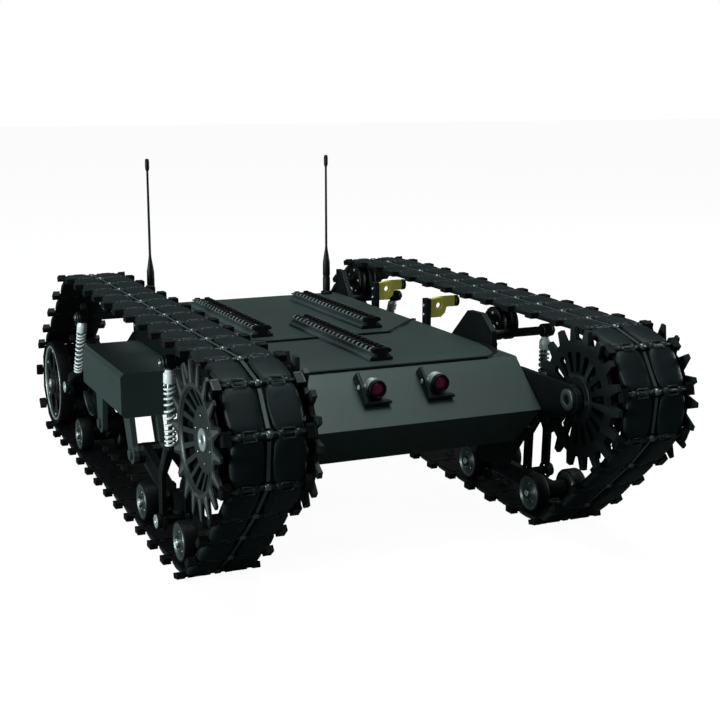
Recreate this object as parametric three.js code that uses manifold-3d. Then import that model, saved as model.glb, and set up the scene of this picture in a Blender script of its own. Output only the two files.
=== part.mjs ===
// Tracked robot chassis: a flat armoured hull with a pod on each side, carried by two rubber-padded
// tracks on sprung arms. Millimetres, +Z up, +Y towards the stern; the origin is on the ground, midway.
import * as THREE from "three";
import { mergeVertices } from "three/addons/utils/BufferGeometryUtils.js";
import Module from "manifold-3d";

const wasm = await Module();
wasm.setup();

// ---- Driving dimensions -------------------------------------------------------------------------
const GAP = 0.4; // between neighbours that are bolted together
const RUNNING = 0.4; // radial clearance of a turning shaft
const DECK_Z = 170.5;
const BELLY_Z = 85.5;
const HULL_HALF = 129;
const WALL = 3;
const STERN_Y = 218.3;
const GLACIS_TOP_Y = -230.5;
const NOSE = [-280, 128];
const CHIN_Y = -232.5;
const LID_THICK = 2.7;

const BELT_NEAR = 149.5; // the belt's inner and outer edge, measured from the hull's middle
const BELT_FAR = 214;
const LUG_NEAR = 143;
const LUG_FAR = 220.5;
const BELT_HALF_THICK = 3.5;
const LUG_LENGTH = 12;
const LUG_THICK = 5.6;
const LINK_PITCH = 44.4;
const FIRST_PIN = 14.7;

const SPROCKET = { at: [-325, 147], belt: 61.5, teeth: 18, tip: 57.2, root: 48, hub: 24, shaft: 9 };
// Two toothed rings stand beside the belt, one outside each end of its lugs.
const TOOTH_RING = { near: [138, 142.4], far: [221.1, 223.6], tip: 66, root: 54, dish: 30 };
const TURN = { at: [-243, 26.5], belt: 23 }; // where the belt turns up from the ground to the sprocket
const CORNER = { at: [208, 185], belt: 25, r: 20 };
const IDLER = { at: [330, 60], belt: 56.5, r: 52.4 };
const WHEEL = { r: 19, z: 26.5, axle: 6 };
const WHEEL_Y = { front: -222, middle: -92.8, rear: 190.4 };

const FRAME = { near: HULL_HALF + GAP, far: 135.4 };
const POD = { near: FRAME.far + GAP, far: 202, front: 10.5, back: 189.5, top: 133.5 };
const ARM = { near: 174, far: 182, hubNear: 168.5, hubFar: 193 };
const INNER_DISC = [152, 166];
const OUTER_DISC = [196, 210.5];
const STRUT_X = 199.5;
const STRUT_PIN_END = 208;
const FOOT_PIN = { end: 212, headNear: 211, headFar: 214.5, headRadius: 7 };
const STRUT_PIN = 4.5;
const FRONT_PIVOT = [5, 48];
const REAR_PIVOT = [146.5, 48.6];
const FRONT_STRUT = { top: [-170.5, 180.5], foot: [-163.5, 28.5], seat: 80.5, tubeEnd: 60, rodTop: 32 };
const REAR_STRUT = { top: [192, 165], foot: [238, 74], seat: 80, tubeEnd: 67, rodTop: 28 };
const TOWER_ROLLER = { at: [-146, 187], r: 17.5 };
const ROLLER_SPAN = [150, 172];
const ROLLER_PIN = 4.5;
const GUIDE_Y = [-31.9, 103.7];

const X_AXIS = new THREE.Vector3(1, 0, 0);
const Y_AXIS = new THREE.Vector3(0, 1, 0);
const Z_AXIS = new THREE.Vector3(0, 0, 1);
// Each basis turns an outline drawn in a plane and extruded along local z to run along the named axis.
const ALONG = {
  x: new THREE.Matrix4().makeBasis(Y_AXIS, Z_AXIS, X_AXIS), // outline points are (y, z)
  y: new THREE.Matrix4().makeBasis(Z_AXIS, X_AXIS, Y_AXIS), // outline points are (z, x)
  z: new THREE.Matrix4(), // outline points are (x, y)
};

// ---- Finishes -----------------------------------------------------------------------------------
const FINISH = {
  hull: [0x59605f, 0.5, 0.35],
  black: [0x0e0f10, 0.45, 0.5],
  rubber: [0x161817, 0.85, 0.0],
  rail: [0x8d9392, 0.4, 0.7],
  spring: [0xe8eaea, 0.3, 0.6],
  steel: [0xa9adad, 0.3, 0.9],
  yellow: [0xc9bd4e, 0.45, 0.3],
  lens: [0x8d2a55, 0.1, 0.0],
};

// ---- Solid helpers ------------------------------------------------------------------------------
function solid(geometry) {
  const bare = geometry.index ? geometry.toNonIndexed() : geometry.clone();
  bare.deleteAttribute("normal");
  bare.deleteAttribute("uv");
  const merged = mergeVertices(bare, 1e-4);
  return new wasm.Manifold(
    new wasm.Mesh({
      numProp: 3,
      vertProperties: new Float32Array(merged.attributes.position.array),
      triVerts: new Uint32Array(merged.index.array),
    }),
  );
}

function join(...pieces) {
  return pieces.reduce((whole, piece) => whole.add(piece));
}

function geometryOf(whole) {
  const mesh = whole.getMesh();
  const geometry = new THREE.BufferGeometry();
  geometry.setAttribute("position", new THREE.BufferAttribute(new Float32Array(mesh.vertProperties), 3));
  geometry.setIndex(new THREE.BufferAttribute(new Uint32Array(mesh.triVerts), 1));
  const faceted = geometry.toNonIndexed();
  faceted.computeVertexNormals();
  return faceted;
}

function prism(axis, outline, from, to) {
  const drawn = outline instanceof THREE.Shape;
  const shape = drawn ? outline : new THREE.Shape(outline.map(([u, v]) => new THREE.Vector2(u, v)));
  const options = { depth: to - from, bevelEnabled: false, curveSegments: 8 };
  const geometry = new THREE.ExtrudeGeometry(shape, options);
  geometry.translate(0, 0, from);
  geometry.applyMatrix4(ALONG[axis]);
  return solid(geometry);
}

function box([x0, y0, z0], [x1, y1, z1]) {
  const geometry = new THREE.BoxGeometry(x1 - x0, y1 - y0, z1 - z0);
  geometry.translate((x0 + x1) / 2, (y0 + y1) / 2, (z0 + z1) / 2);
  return solid(geometry);
}

// A round bar along X between two distances from the middle, at a point (y, z).
function bar([y, z], r, near, far, segments = 12) {
  const geometry = new THREE.CylinderGeometry(r, r, far - near, segments);
  geometry.rotateZ(Math.PI / 2);
  geometry.translate((near + far) / 2, y, z);
  return solid(geometry);
}

function circlePoint([y, z], r, angle) {
  return [y + r * Math.cos(angle), z + r * Math.sin(angle)];
}

// The outline of a belt pulled round circles listed anticlockwise, each drawn `grow` larger.
function beltOutline(circles, grow, step = Math.PI / 15) {
  const points = [];
  const tangents = circles.map((circle, i) => {
    const next = circles[(i + 1) % circles.length];
    const dy = next.at[0] - circle.at[0];
    const dz = next.at[1] - circle.at[1];
    return Math.atan2(dz, dy) - Math.PI / 2 + Math.asin((next.belt - circle.belt) / Math.hypot(dy, dz)) * -1;
  });
  circles.forEach((circle, i) => {
    const from = tangents[(i + circles.length - 1) % circles.length];
    const turn = (((tangents[i] - from) % (2 * Math.PI)) + 2 * Math.PI) % (2 * Math.PI);
    const count = Math.max(1, Math.ceil(turn / step));
    for (let k = 0; k <= count; k++) {
      points.push(circlePoint(circle.at, circle.belt + grow, from + (turn * k) / count));
    }
  });
  return points;
}

function capsule(a, ra, b, rb) {
  return beltOutline([{ at: a, belt: ra }, { at: b, belt: rb }], 0, Math.PI / 4);
}

function outlineLength(points) {
  return points.reduce((sum, [y, z], i) => {
    const [ny, nz] = points[(i + 1) % points.length];
    return sum + Math.hypot(ny - y, nz - z);
  }, 0);
}

// The point at a distance along a closed outline, with the direction of travel there.
function walk(points, distance) {
  let left = distance;
  for (let i = 0; ; i = (i + 1) % points.length) {
    const [y, z] = points[i];
    const [ny, nz] = points[(i + 1) % points.length];
    const length = Math.hypot(ny - y, nz - z);
    if (length > 0 && left <= length) {
      const share = left / length;
      return { at: [y + (ny - y) * share, z + (nz - z) * share], angle: Math.atan2(nz - z, ny - y) };
    }
    left -= length;
  }
}

const part = new THREE.Group();
const SIDES = [
  ["left", -1],
  ["right", 1],
];

// Adds a solid as a named mesh; a solid drawn for the right-hand side is mirrored for the left.
function add(name, whole, finish, side = 1) {
  const [color, roughness, metalness] = FINISH[finish];
  const handed = side < 0 ? whole.mirror([1, 0, 0]) : whole;
  const material = new THREE.MeshStandardMaterial({ color, roughness, metalness });
  const mesh = new THREE.Mesh(geometryOf(handed), material);
  mesh.name = name;
  part.add(mesh);
}

// ---- Hull ---------------------------------------------------------------------------------------
function hullSide(inset) {
  return [
    [STERN_Y - inset, BELLY_Z + inset],
    [STERN_Y - inset, DECK_Z],
    [GLACIS_TOP_Y + inset * 1.5, DECK_Z],
    [NOSE[0] + inset * 1.5, NOSE[1]],
    [CHIN_Y + inset * 0.5, BELLY_Z + inset],
  ];
}

// The two lids share a seam that runs straight across the middle and sweeps back at each end.
const SEAM = { y: -69.4, straight: 70, endY: -8 };
const LID_CORNER = { x: 98, y: -165 };

function seamPoints(shift, half) {
  return [
    [-half, SEAM.endY + shift],
    [-SEAM.straight, SEAM.y + shift],
    [SEAM.straight, SEAM.y + shift],
    [half, SEAM.endY + shift],
  ];
}

function frontLidOutline(half, grow) {
  const front = GLACIS_TOP_Y + 2 - grow;
  const shape = new THREE.Shape();
  shape.moveTo(-half, LID_CORNER.y - grow);
  shape.quadraticCurveTo(-half + 6, front + 8, -LID_CORNER.x - grow, front);
  shape.lineTo(LID_CORNER.x + grow, front);
  shape.quadraticCurveTo(half - 6, front + 8, half, LID_CORNER.y - grow);
  seamPoints(-0.6, half)
    .reverse()
    .forEach(([x, y]) => shape.lineTo(x, y));
  shape.closePath();
  return shape;
}

function makeHull() {
  const shelf = DECK_Z - LID_THICK - GAP;
  const lidRoom = join(
    prism("z", frontLidOutline(HULL_HALF + 1, GAP), shelf, DECK_Z + 1),
    box([-HULL_HALF - 1, SEAM.y - 2, shelf], [HULL_HALF + 1, STERN_Y + 1, DECK_Z + 1]),
  );
  const cavity = prism("x", hullSide(WALL), -HULL_HALF + WALL, HULL_HALF - WALL).subtract(
    box([-HULL_HALF, -400, shelf], [HULL_HALF, -160, DECK_Z + 1]),
  );
  const shell = prism("x", hullSide(0), -HULL_HALF, HULL_HALF).subtract(cavity).subtract(lidRoom);
  add("hull_shell", shell, "hull");

  const lidTop = DECK_Z;
  add("front_lid", prism("z", frontLidOutline(HULL_HALF, 0), lidTop - LID_THICK, lidTop), "hull");
  const rear = seamPoints(0.6, HULL_HALF).concat([
    [HULL_HALF, STERN_Y],
    [-HULL_HALF, STERN_Y],
  ]);
  add("rear_lid", prism("z", rear, lidTop - LID_THICK, lidTop), "hull");
}

// One gearmotor a side drives its sprocket through the arm of the side frame.
function makeDriveMotor(name, side) {
  const at = [-196, 124];
  const whole = join(
    bar(at, 26, 34, 108),
    bar(at, 17, 16, 35),
    bar(at, 9, 107, 125.5),
    box([44, -218, BELLY_Z + WALL + GAP], [98, -174, 106]),
  );
  add(`drive_motor_${name}`, whole, "steel", side);
}

// ---- Accessory rails ----------------------------------------------------------------------------
const RAIL = { length: 215, base: 12, top: 10.6, height: 12 };

function makeRail(name, x, frontY) {
  const floor = DECK_Z + GAP;
  const section = [
    [-RAIL.base, 0],
    [RAIL.base, 0],
    [RAIL.base, 3],
    [5.5, 3],
    [5.5, 6.4],
    [RAIL.top, 8],
    [RAIL.top, 9.6],
    [8, RAIL.height],
    [-8, RAIL.height],
    [-RAIL.top, 9.6],
    [-RAIL.top, 8],
    [-5.5, 6.4],
    [-5.5, 3],
    [-RAIL.base, 3],
  ].map(([dx, dz]) => [floor + dz, x + dx]);
  add(name, prism("y", section, frontY, frontY + RAIL.length), "rail");
}

// ---- Antennas -----------------------------------------------------------------------------------
function makeAntenna(name, side) {
  const profile = [
    [0, 0],
    [7, 0],
    [7, 3],
    [4.6, 4],
    [4.6, 40],
    [1.8, 56],
    [1.7, 160],
    [2.6, 161],
    [2.6, 172],
    [1.6, 172.9],
    [0, 172.9],
  ];
  const geometry = new THREE.LatheGeometry(profile.map(([r, h]) => new THREE.Vector2(r, h)), 8);
  geometry.rotateX(Math.PI / 2);
  geometry.translate(113, 209.5, DECK_Z + GAP);
  add(`antenna_${name}`, solid(geometry), "black", side);
}

// ---- Nose lamps ---------------------------------------------------------------------------------
const LAMP = { half: 32, y: -262, z: 158, r: 8.6, pivotY: -250, back: 2.4 };
const LENS = { ball: 10, spread: 0.72 }; // a cap cut from a ball

// A point on the glacis: `down` along the slope from its foot at the bracket, `out` along its normal.
const SLOPE = new THREE.Vector2(NOSE[0] - GLACIS_TOP_Y, NOSE[1] - DECK_Z).normalize();
function onGlacis(down, out) {
  const foot = [-236.8, 165.1];
  return [foot[0] + down * SLOPE.x + out * SLOPE.y, foot[1] + down * SLOPE.y - out * SLOPE.x];
}

// The place on the glacis, lifted off it by the assembly gap, at a height.
function glacisAtHeight(z) {
  const [y0, z0] = onGlacis(0, GAP);
  return [y0 + ((z - z0) * SLOPE.x) / SLOPE.y, z];
}

function makeLamp(name, x) {
  const left = x - 14.5;
  const shelfTop = LAMP.z - LAMP.r - 1.7;
  const shelfLow = shelfTop - 2.5;
  const lip = LAMP.y - 4;
  const cheekOutline = [
    onGlacis(0, GAP),
    onGlacis(2, 11),
    onGlacis(20, 11),
    [lip, shelfTop],
    [lip, shelfLow],
    glacisAtHeight(shelfLow),
  ];
  const shelfOutline = [glacisAtHeight(shelfTop), [lip, shelfTop], [lip, shelfLow], glacisAtHeight(shelfLow)];
  const cheek = prism("x", cheekOutline, left, left + 2.5);
  const shelf = prism("x", shelfOutline, left, x + 12);
  const pivot = [LAMP.pivotY, LAMP.z + 1];
  const bracket = join(cheek, shelf).subtract(bar(pivot, 3, left - 1, left + 4));
  add(`lamp_bracket_${name}`, bracket, "black");

  const tube = new THREE.CylinderGeometry(LAMP.r, LAMP.r, 40, 20);
  tube.translate(x, LAMP.y + 20, LAMP.z);
  const behind = [onGlacis(-40, -40), onGlacis(-40, LAMP.back), onGlacis(60, LAMP.back), onGlacis(60, -40)];
  const recess = new THREE.CylinderGeometry(7.2, 7.2, 4, 20);
  recess.translate(x, LAMP.y + 1, LAMP.z);
  const body = join(solid(tube), bar(pivot, 2.6, left - 0.5, x - LAMP.r + 3))
    .subtract(prism("x", behind, x - 20, x + 20))
    .subtract(solid(recess));
  add(`lamp_body_${name}`, body, "steel");

  const profile = [];
  for (let i = 0; i <= 3; i++) {
    const angle = (LENS.spread * i) / 3;
    profile.push(new THREE.Vector2(LENS.ball * Math.sin(angle), LENS.ball * Math.cos(angle)));
  }
  profile.push(new THREE.Vector2(0, LENS.ball * Math.cos(LENS.spread)));
  profile.reverse();
  const lens = new THREE.LatheGeometry(profile, 20);
  lens.translate(0, -LENS.ball * Math.cos(LENS.spread), 0);
  lens.rotateX(Math.PI);
  lens.translate(x, LAMP.y + 2.6, LAMP.z);
  add(`lamp_lens_${name}`, solid(lens), "lens");
}

// ---- Side frame: a plate with both towers, the guide posts and the sprocket's bearing -----------
function makeSideFrame(name, side) {
  const { near, far } = FRAME;
  const plate = (outline) => prism("x", outline, near, far);
  const main = plate([
    [-236, 104],
    [-214, 89],
    [212, 89],
    [212, 167],
    [-222, 167],
  ]);
  const driveArm = plate([
    circlePoint(SPROCKET.at, 14, 1.9),
    [-232, 160],
    [-222, 100],
    circlePoint(SPROCKET.at, 14, 4.5),
  ]);
  const nosePlate = plate([
    [-254, 104],
    [-180, 104],
    [-150, 50],
    [-208, 50],
  ]);
  const frontTower = plate([
    [-185, 160],
    [-181, 186],
    [-160, 201],
    [-131, 200],
    [-85, 160],
  ]);
  const rearTower = plate([
    [165, 160],
    [176, 170],
    [200, 200],
    [217, 200],
    [217, 160],
  ]);
  const idlerArm = plate(capsule([205, 118], 24, IDLER.at, 14));
  const posts = GUIDE_Y.map((y) => box([near, y - 5, 160], [far, y + 5, 198]));
  const bearings = [
    bar(SPROCKET.at, 14, near, far),
    bar(SPROCKET.at, 10.5, near - 1.6, far),
  ];
  const plates = [main, driveArm, nosePlate, frontTower, rearTower, idlerArm];
  add(`side_frame_${name}`, join(...plates, ...posts, ...bearings), "black", side);
}

// ---- Side pod, with the two hangers that the arms turn on ---------------------------------------
function makePod(name, side) {
  const { near, far, front, back, top } = POD;
  const bevel = 4;
  const section = [
    [BELLY_Z, near],
    [BELLY_Z, far - bevel],
    [BELLY_Z + bevel, far],
    [top - bevel, far],
    [top, far - bevel],
    [top, near],
  ];
  const pod = prism("y", section, front, back);
  const hangers = [
    [FRONT_PIVOT, 12, 40],
    [REAR_PIVOT, 130, 164],
  ].flatMap(([pivot, y0, y1]) => {
    const outline = [
      [y0, BELLY_Z + 5],
      [y1, BELLY_Z + 5],
      circlePoint(pivot, 11, -0.35),
      circlePoint(pivot, 11, 3.5),
    ];
    return [
      prism("x", outline, 158, 164.5),
      bar(pivot, 11, 158, 164.5),
      prism("x", outline, 188, 194),
      bar(pivot, 11, 188, 194),
      bar(pivot, 6, 160, 197),
    ];
  });
  add(`side_pod_${name}`, join(pod, ...hangers), "hull", side);
}

// ---- Track belts --------------------------------------------------------------------------------
const LOOP = [TURN, IDLER, CORNER, SPROCKET];

function makeTrack(name, side) {
  const pins = beltOutline(LOOP, 0);
  const links = Math.round(outlineLength(pins) / LINK_PITCH);
  const pitch = outlineLength(pins) / links;
  const band = prism("x", beltOutline(LOOP, BELT_HALF_THICK), BELT_NEAR, BELT_FAR).subtract(
    prism("x", beltOutline(LOOP, -BELT_HALF_THICK), BELT_NEAR - 1, BELT_FAR + 1),
  );
  const lugs = [];
  for (let i = 0; i < links; i++) {
    const { at, angle } = walk(pins, FIRST_PIN + i * pitch);
    for (const [near, far] of [
      [LUG_NEAR, BELT_NEAR + 1],
      [BELT_FAR - 1, LUG_FAR],
    ]) {
      const lug = new THREE.BoxGeometry(far - near, LUG_LENGTH, LUG_THICK);
      lug.translate((near + far) / 2, 0, 0);
      lug.rotateX(angle);
      lug.translate(0, at[0], at[1]);
      lugs.push(solid(lug));
    }
  }
  add(`track_${name}`, join(band, ...lugs), "rubber", side);
}

// ---- Wheels -------------------------------------------------------------------------------------
function toothed(at, teeth, root, tip) {
  const pitch = (2 * Math.PI) / teeth;
  const outline = [];
  for (let i = 0; i < teeth; i++) {
    const middle = i * pitch;
    outline.push(circlePoint(at, root, middle - pitch * 0.28));
    outline.push(circlePoint(at, tip, middle - pitch * 0.16));
    outline.push(circlePoint(at, tip, middle + pitch * 0.16));
    outline.push(circlePoint(at, root, middle + pitch * 0.28));
  }
  return outline;
}

// A lathe-turned piece about an axle: profile points are (radius, distance from the hull's middle).
function spun([y, z], profile, segments = 30) {
  const geometry = new THREE.LatheGeometry(profile.map(([r, x]) => new THREE.Vector2(r, x)), segments);
  geometry.rotateZ(-Math.PI / 2);
  geometry.translate(0, y, z);
  return solid(geometry);
}

// Every wheel carries its own axle, which starts just outside the side frame's plate.
const AXLE_START = FRAME.far + GAP;

function makeSprocket(name, side) {
  const { at, teeth, tip, root, hub, shaft } = SPROCKET;
  const [nearStart, nearEnd] = TOOTH_RING.near;
  const [farStart, farEnd] = TOOTH_RING.far;
  const ring = toothed(at, teeth, TOOTH_RING.root, TOOTH_RING.tip);
  const rim = TOOTH_RING.root + 1;
  const dish = spun(at, [
    [0, 203],
    [hub, 203],
    [TOOTH_RING.dish, 210],
    [rim, farStart],
    [rim, farEnd],
    [rim - 6, farEnd],
    [TOOTH_RING.dish, 215],
    [0, 215],
  ]);
  const whole = join(
    prism("x", ring, nearStart, nearEnd),
    prism("x", ring, farStart, farEnd).subtract(bar(at, rim - 4, farStart - 1, farEnd + 1, 30)),
    prism("x", toothed(at, teeth, root, tip), 153, 158),
    dish,
    bar(at, hub, nearStart, 204, 14),
    bar(at, shaft, AXLE_START, 217, 12),
  );
  add(`sprocket_${name}`, whole, "black", side);
}

function makeIdler(name, side) {
  const { at, r } = IDLER;
  const axle = bar(at, WHEEL.axle, AXLE_START, 147);
  const whole = join(bar(at, r, ...INNER_DISC, 30), bar(at, r, 196, 212, 30), bar(at, 14, 146, 213, 10), axle);
  add(`idler_${name}`, whole, "black", side);
}

function makeRoadWheel(name, y, side) {
  const at = [y, WHEEL.z];
  const whole = join(
    bar(at, WHEEL.r, ...INNER_DISC, 18),
    bar(at, WHEEL.r, ...OUTER_DISC, 18),
    bar(at, WHEEL.axle, 147, 213),
  );
  add(name, whole, "black", side);
}

function makeRoller(name, at, r, side) {
  const [near, far] = ROLLER_SPAN;
  add(name, join(bar(at, r, near, far, 20), bar(at, ROLLER_PIN, AXLE_START, far + 2)), "black", side);
}

// ---- Suspension ---------------------------------------------------------------------------------
const PIVOT_SPAN = [165, 187.4];

function footPin(at) {
  const { end, headNear, headFar, headRadius } = FOOT_PIN;
  return [bar(at, STRUT_PIN, ARM.far - 1, end), bar(at, headRadius, headNear, headFar)];
}

function makeFrontArm(name, side) {
  const front = [WHEEL_Y.front, WHEEL.z];
  const middle = [WHEEL_Y.middle, WHEEL.z];
  const { near, far, hubNear, hubFar } = ARM;
  const whole = join(
    prism("x", capsule(front, 9.2, middle, 9.2), near, far),
    prism("x", capsule(middle, 9.2, FRONT_PIVOT, 11), near, far),
    bar(front, 9.2, hubNear, hubFar),
    bar(middle, 9.2, hubNear, hubFar),
    bar(FRONT_PIVOT, 11, ...PIVOT_SPAN),
    ...footPin(FRONT_STRUT.foot),
  )
    .subtract(bar(front, WHEEL.axle + RUNNING, 130, 230))
    .subtract(bar(middle, WHEEL.axle + RUNNING, 130, 230))
    .subtract(bar(FRONT_PIVOT, 6 + RUNNING, 130, 230));
  add(`front_arm_${name}`, whole, "black", side);
}

function makeRearArm(name, side) {
  const wheel = [WHEEL_Y.rear, WHEEL.z];
  const { near, far, hubNear, hubFar } = ARM;
  const whole = join(
    prism("x", capsule(wheel, 9.2, REAR_PIVOT, 11), near, far),
    prism("x", capsule(wheel, 9.2, REAR_STRUT.foot, 8), near, far),
    prism("x", capsule(REAR_PIVOT, 8, REAR_STRUT.foot, 6), near, far),
    bar(wheel, 9.2, hubNear, hubFar),
    bar(REAR_PIVOT, 11, ...PIVOT_SPAN),
    ...footPin(REAR_STRUT.foot),
  )
    .subtract(bar(wheel, WHEEL.axle + RUNNING, 130, 230))
    .subtract(bar(REAR_PIVOT, 6 + RUNNING, 130, 230));
  add(`rear_arm_${name}`, whole, "black", side);
}

// A lathe-turned piece about a strut's axis: profile points are (radius, distance down from the top
// pin), listed so that the solid lies on the left of the way they run.
function turned(profile, segments = 12) {
  const points = profile.map(([r, down]) => new THREE.Vector2(r, -down)).reverse();
  const geometry = new THREE.LatheGeometry(points, segments);
  geometry.rotateX(Math.PI / 2);
  return solid(geometry);
}

const SPRING = { top: 20, rodRadius: 2.2, tubeRadius: 3.4, inner: 3.9, outer: 5.8 };
const FORK = { near: 184, far: 210, thick: 4, pinHole: 6.8 };

function makeStrut(name, place, strut, side) {
  const { top, foot, seat, tubeEnd, rodTop } = strut;
  const length = Math.hypot(foot[0] - top[0], foot[1] - top[1]);
  const lean = Math.atan2(foot[0] - top[0], top[1] - foot[1]);
  const matrix = new THREE.Matrix4()
    .makeTranslation(STRUT_X, top[0], top[1])
    .multiply(new THREE.Matrix4().makeRotationX(lean));
  const set = (whole) => {
    const geometry = geometryOf(whole);
    geometry.applyMatrix4(matrix);
    return solid(geometry);
  };
  const { rodRadius, tubeRadius, inner, outer } = SPRING;

  const tube = turned([
    [0, 4],
    [tubeRadius, 4],
    [tubeRadius, 15],
    [outer, 16],
    [outer, SPRING.top],
    [tubeRadius, SPRING.top],
    [tubeRadius, tubeEnd],
    [rodRadius + RUNNING, tubeEnd],
    [rodRadius + RUNNING, 12],
    [0, 12],
  ]);
  const eye = bar([0, 0], 7, -5, 5);
  const pin = bar([0, 0], STRUT_PIN, AXLE_START - STRUT_X, STRUT_PIN_END - STRUT_X);
  add(`strut_tube_${place}_${name}`, set(join(tube, eye, pin)), "spring", side);

  const spring = turned([
    [inner, SPRING.top + GAP],
    [outer, SPRING.top + GAP],
    [outer, seat - GAP],
    [inner, seat - GAP],
    [inner, SPRING.top + GAP],
  ]);
  add(`spring_${place}_${name}`, set(spring), "spring", side);

  const rod = turned([
    [0, rodTop],
    [rodRadius, rodTop],
    [rodRadius, seat],
    [outer, seat],
    [outer, seat + 3],
    [0, seat + 3],
  ]);
  const half = { near: FORK.near - STRUT_X, far: FORK.far - STRUT_X };
  const shoulder = Math.min(seat + 24, length - 14);
  const forkOutline = (depth) => [
    [-seat - 2, -5],
    [-seat - 2, 5],
    [-shoulder, half.far],
    [-length - depth, half.far],
    [-length - depth, half.far - FORK.thick],
    [-shoulder - 4, half.far - FORK.thick],
    [-seat - 10, 0],
    [-shoulder - 4, half.near + FORK.thick],
    [-length - depth, half.near + FORK.thick],
    [-length - depth, half.near],
    [-shoulder, half.near],
  ];
  const fork = join(
    rod,
    prism("y", forkOutline(0), -6, 6),
    bar([0, -length], 9, half.near, half.near + FORK.thick),
    bar([0, -length], 9, half.far - FORK.thick, half.far),
  ).subtract(bar([0, -length], FORK.pinHole, -30, 30));
  add(`strut_fork_${place}_${name}`, set(fork), "black", side);
}

// ---- Belt guides on the deck edge ---------------------------------------------------------------
function makeGuide(name, y, side) {
  const start = FRAME.far + GAP;
  const outline = [
    [176.5, start],
    [176.5, start + 13],
    [181, start + 18],
    [187.5, start + 20],
    [187.5, start + 30],
    [199, start + 30],
    [199, start + 14],
    [197, start],
  ];
  const plate = prism("y", outline, y - 3, y + 3);
  const hole = new THREE.CylinderGeometry(3.4, 3.4, 10, 16);
  hole.translate(start + 10.5, y, 189.5);
  const axle = [y, 193.3];
  const stub = bar(axle, 2, start + 29, start + 35.2);
  add(`guide_arm_${name}`, join(plate.subtract(solid(hole)), stub), "yellow", side);
  const tyre = bar(axle, 6.2, start + 30.4, start + 34.8);
  add(`guide_roller_${name}`, tyre.subtract(bar(axle, 2 + RUNNING, 160, 180)), "black", side);
}

// ---- Assembly -----------------------------------------------------------------------------------
makeHull();
makeRail("rail_middle", 0, -200);
makeRail("rail_left", -62.7, -40);
makeRail("rail_right", 62.7, -40);
makeLamp("left", -LAMP.half);
makeLamp("right", LAMP.half);
for (const [name, side] of SIDES) {
  makeDriveMotor(name, side);
  makeAntenna(name, side);
  makeSideFrame(name, side);
  makePod(name, side);
  makeTrack(name, side);
  makeSprocket(name, side);
  makeIdler(name, side);
  for (const [place, y] of Object.entries(WHEEL_Y)) {
    makeRoadWheel(`road_wheel_${place}_${name}`, y, side);
  }
  makeRoller(`corner_roller_${name}`, CORNER.at, CORNER.r, side);
  makeRoller(`tower_roller_${name}`, TOWER_ROLLER.at, TOWER_ROLLER.r, side);
  makeFrontArm(name, side);
  makeRearArm(name, side);
  makeStrut(name, "front", FRONT_STRUT, side);
  makeStrut(name, "rear", REAR_STRUT, side);
  makeGuide(`front_${name}`, GUIDE_Y[0], side);
  makeGuide(`rear_${name}`, GUIDE_Y[1], side);
}

export default part;
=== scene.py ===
import math

import bmesh
import bpy
from mathutils import Matrix, Vector
from mathutils.geometry import tessellate_polygon


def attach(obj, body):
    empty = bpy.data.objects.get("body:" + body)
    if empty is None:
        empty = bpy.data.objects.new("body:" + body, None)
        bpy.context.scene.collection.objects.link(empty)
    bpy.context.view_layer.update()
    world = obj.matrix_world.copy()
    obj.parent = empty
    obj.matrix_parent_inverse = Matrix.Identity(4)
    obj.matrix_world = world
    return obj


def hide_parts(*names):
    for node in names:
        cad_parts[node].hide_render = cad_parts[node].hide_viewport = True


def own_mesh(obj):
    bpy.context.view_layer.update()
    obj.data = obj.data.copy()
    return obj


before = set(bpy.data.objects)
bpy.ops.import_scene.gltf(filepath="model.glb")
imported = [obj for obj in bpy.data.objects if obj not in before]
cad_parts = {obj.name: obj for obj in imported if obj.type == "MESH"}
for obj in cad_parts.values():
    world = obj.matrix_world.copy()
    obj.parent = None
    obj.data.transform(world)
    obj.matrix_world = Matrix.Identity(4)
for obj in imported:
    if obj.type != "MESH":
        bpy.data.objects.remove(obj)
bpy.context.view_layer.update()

# Every length below is in millimetres in the row frame; Build.piece turns it into metres.
MM = 0.001
SIDES = (("left", -1), ("right", 1))
FULL = 2 * math.pi

SPROCKET = (-325.0, 147.0)
IDLER = (330.0, 60.0)
CORNER = (208.0, 185.0)
TURN = (-243.0, 26.5)
TOWER_ROLLER = (-146.0, 187.0)
LOOP = ((TURN, 23.0), (IDLER, 56.5), (CORNER, 25.0), (SPROCKET, 61.5))
LINK_PITCH = 44.4
FIRST_PIN = 14.7
BELT = (149.5, 214.0)
LUGS = ((143.0, 150.5), (213.0, 220.5))
WHEELS = {"front": -222.0, "middle": -92.8, "rear": 190.4}
WHEEL_Z = 26.5
STRUT_X = 199.5
STRUTS = {
    "front": {"top": (-170.5, 180.5), "foot": (-163.5, 28.5), "seat": 80.5, "tube_end": 60.0, "travel": 17.9},
    "rear": {"top": (192.0, 165.0), "foot": (238.0, 74.0), "seat": 80.0, "tube_end": 67.0, "travel": 10.0},
}
RAILS = {"middle": (0.0, -200.0), "left": (-62.7, -40.0), "right": (62.7, -40.0)}
DECK_Z = 170.5
GUIDE_Y = (-31.9, 103.7)
AXLE_START = 136.0
TEETH = 18
RAIL_LENGTH, RAIL_PITCH, RAIL_TEETH = 215.0, 10.0, 21


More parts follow.
